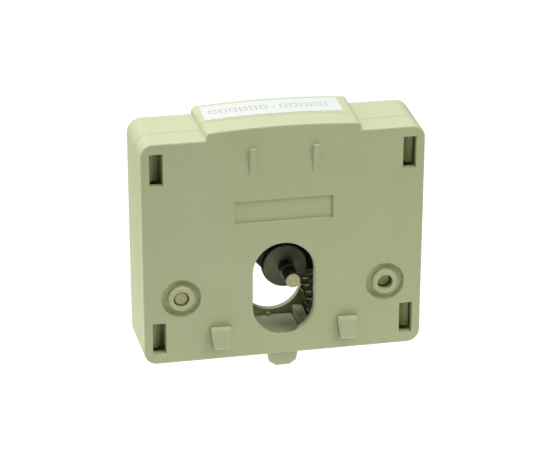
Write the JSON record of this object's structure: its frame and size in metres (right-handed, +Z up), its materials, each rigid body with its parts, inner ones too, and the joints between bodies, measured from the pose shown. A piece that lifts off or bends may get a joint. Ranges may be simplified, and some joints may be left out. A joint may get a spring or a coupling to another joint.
{
  "type": "key lock cassette of a selector key switch",
  "caption": "Flat key lock cassette for a breaker: clip-together case with round lock aperture, stadium drive window, sprung cam lever, bottom latch tongue and captive screws.",
  "frame": {"origin": "centre of the round lock aperture, on the seat face that the lock's flange rests on", "axes": "+Y out of the user side along the lock axis, -Y out of the mounting side, +Z up towards the crown, +X to the right seen from the mounting side"},
  "size_m": [0.0774, 0.0221, 0.0707],
  "materials": {
    "case_plastic": "fine moulding texture, greenish grey-beige",
    "latch_plastic": "fine moulding texture, greenish grey-beige",
    "label_paper": "blank matt white adhesive paper",
    "lever_steel": "blackened sheet steel",
    "roller_plastic": "dark grey moulded plastic",
    "pin_steel": "turned and zinc plated",
    "spring_steel": "drawn wire or stamped strip",
    "screw_steel": "zinc plated",
    "bush_brass": "turned"
  },
  "bodies": {
    "case": {"front_cover": "case_plastic", "rear_housing": "case_plastic", "label": "label_paper", "lever_pivot_pin": "pin_steel", "pivot_washer": "pin_steel", "pivot_clip": "spring_steel", "tension_spring": "spring_steel", "spring_anchor_pin": "pin_steel", "latch_spring_left": "spring_steel", "latch_spring_right": "spring_steel"},
    "lever": {"cam_lever": "lever_steel", "lever_bush": "bush_brass", "drive_pin": "pin_steel", "pin_clip": "spring_steel"},
    "roller": {"follower_roller": "roller_plastic"},
    "latch": {"latch_slide": "latch_plastic"},
    "screw_left": {"fixing_screw_left": "screw_steel", "screw_retainer_left": "spring_steel"},
    "screw_right": {"fixing_screw_right": "screw_steel", "screw_retainer_right": "spring_steel"}
  },
  "joints": [
    {"name": "lever_swing", "type": "hinge", "parent": "case", "child": "lever", "pos_m": [-0.0075, -0.00335, 0.0163], "axis": [0, -1, 0], "range_deg": [0, 18], "stiffness_Nm_per_rad": 0.01, "springref_deg": -57.3, "deforming": ["tension_spring"]},
    {"name": "roller_spin", "type": "hinge", "parent": "lever", "child": "roller", "pos_m": [0.00315, -0.0046, 0.0057], "axis": [0, -1, 0], "continuous": true},
    {"name": "latch_travel", "type": "slide", "parent": "case", "child": "latch", "axis": [0, 0, 1], "range_m": [0, 0.002], "stiffness_N_per_m": 200, "springref_m": -0.003, "deforming": ["latch_spring_left", "latch_spring_right"]},
    {"name": "screw_left_travel", "type": "slide", "parent": "case", "child": "screw_left", "axis": [0, -1, 0], "range_m": [-0.0015, 0.0046]},
    {"name": "screw_right_travel", "type": "slide", "parent": "case", "child": "screw_right", "axis": [0, -1, 0], "range_m": [0, 0.0061]}
  ]
}
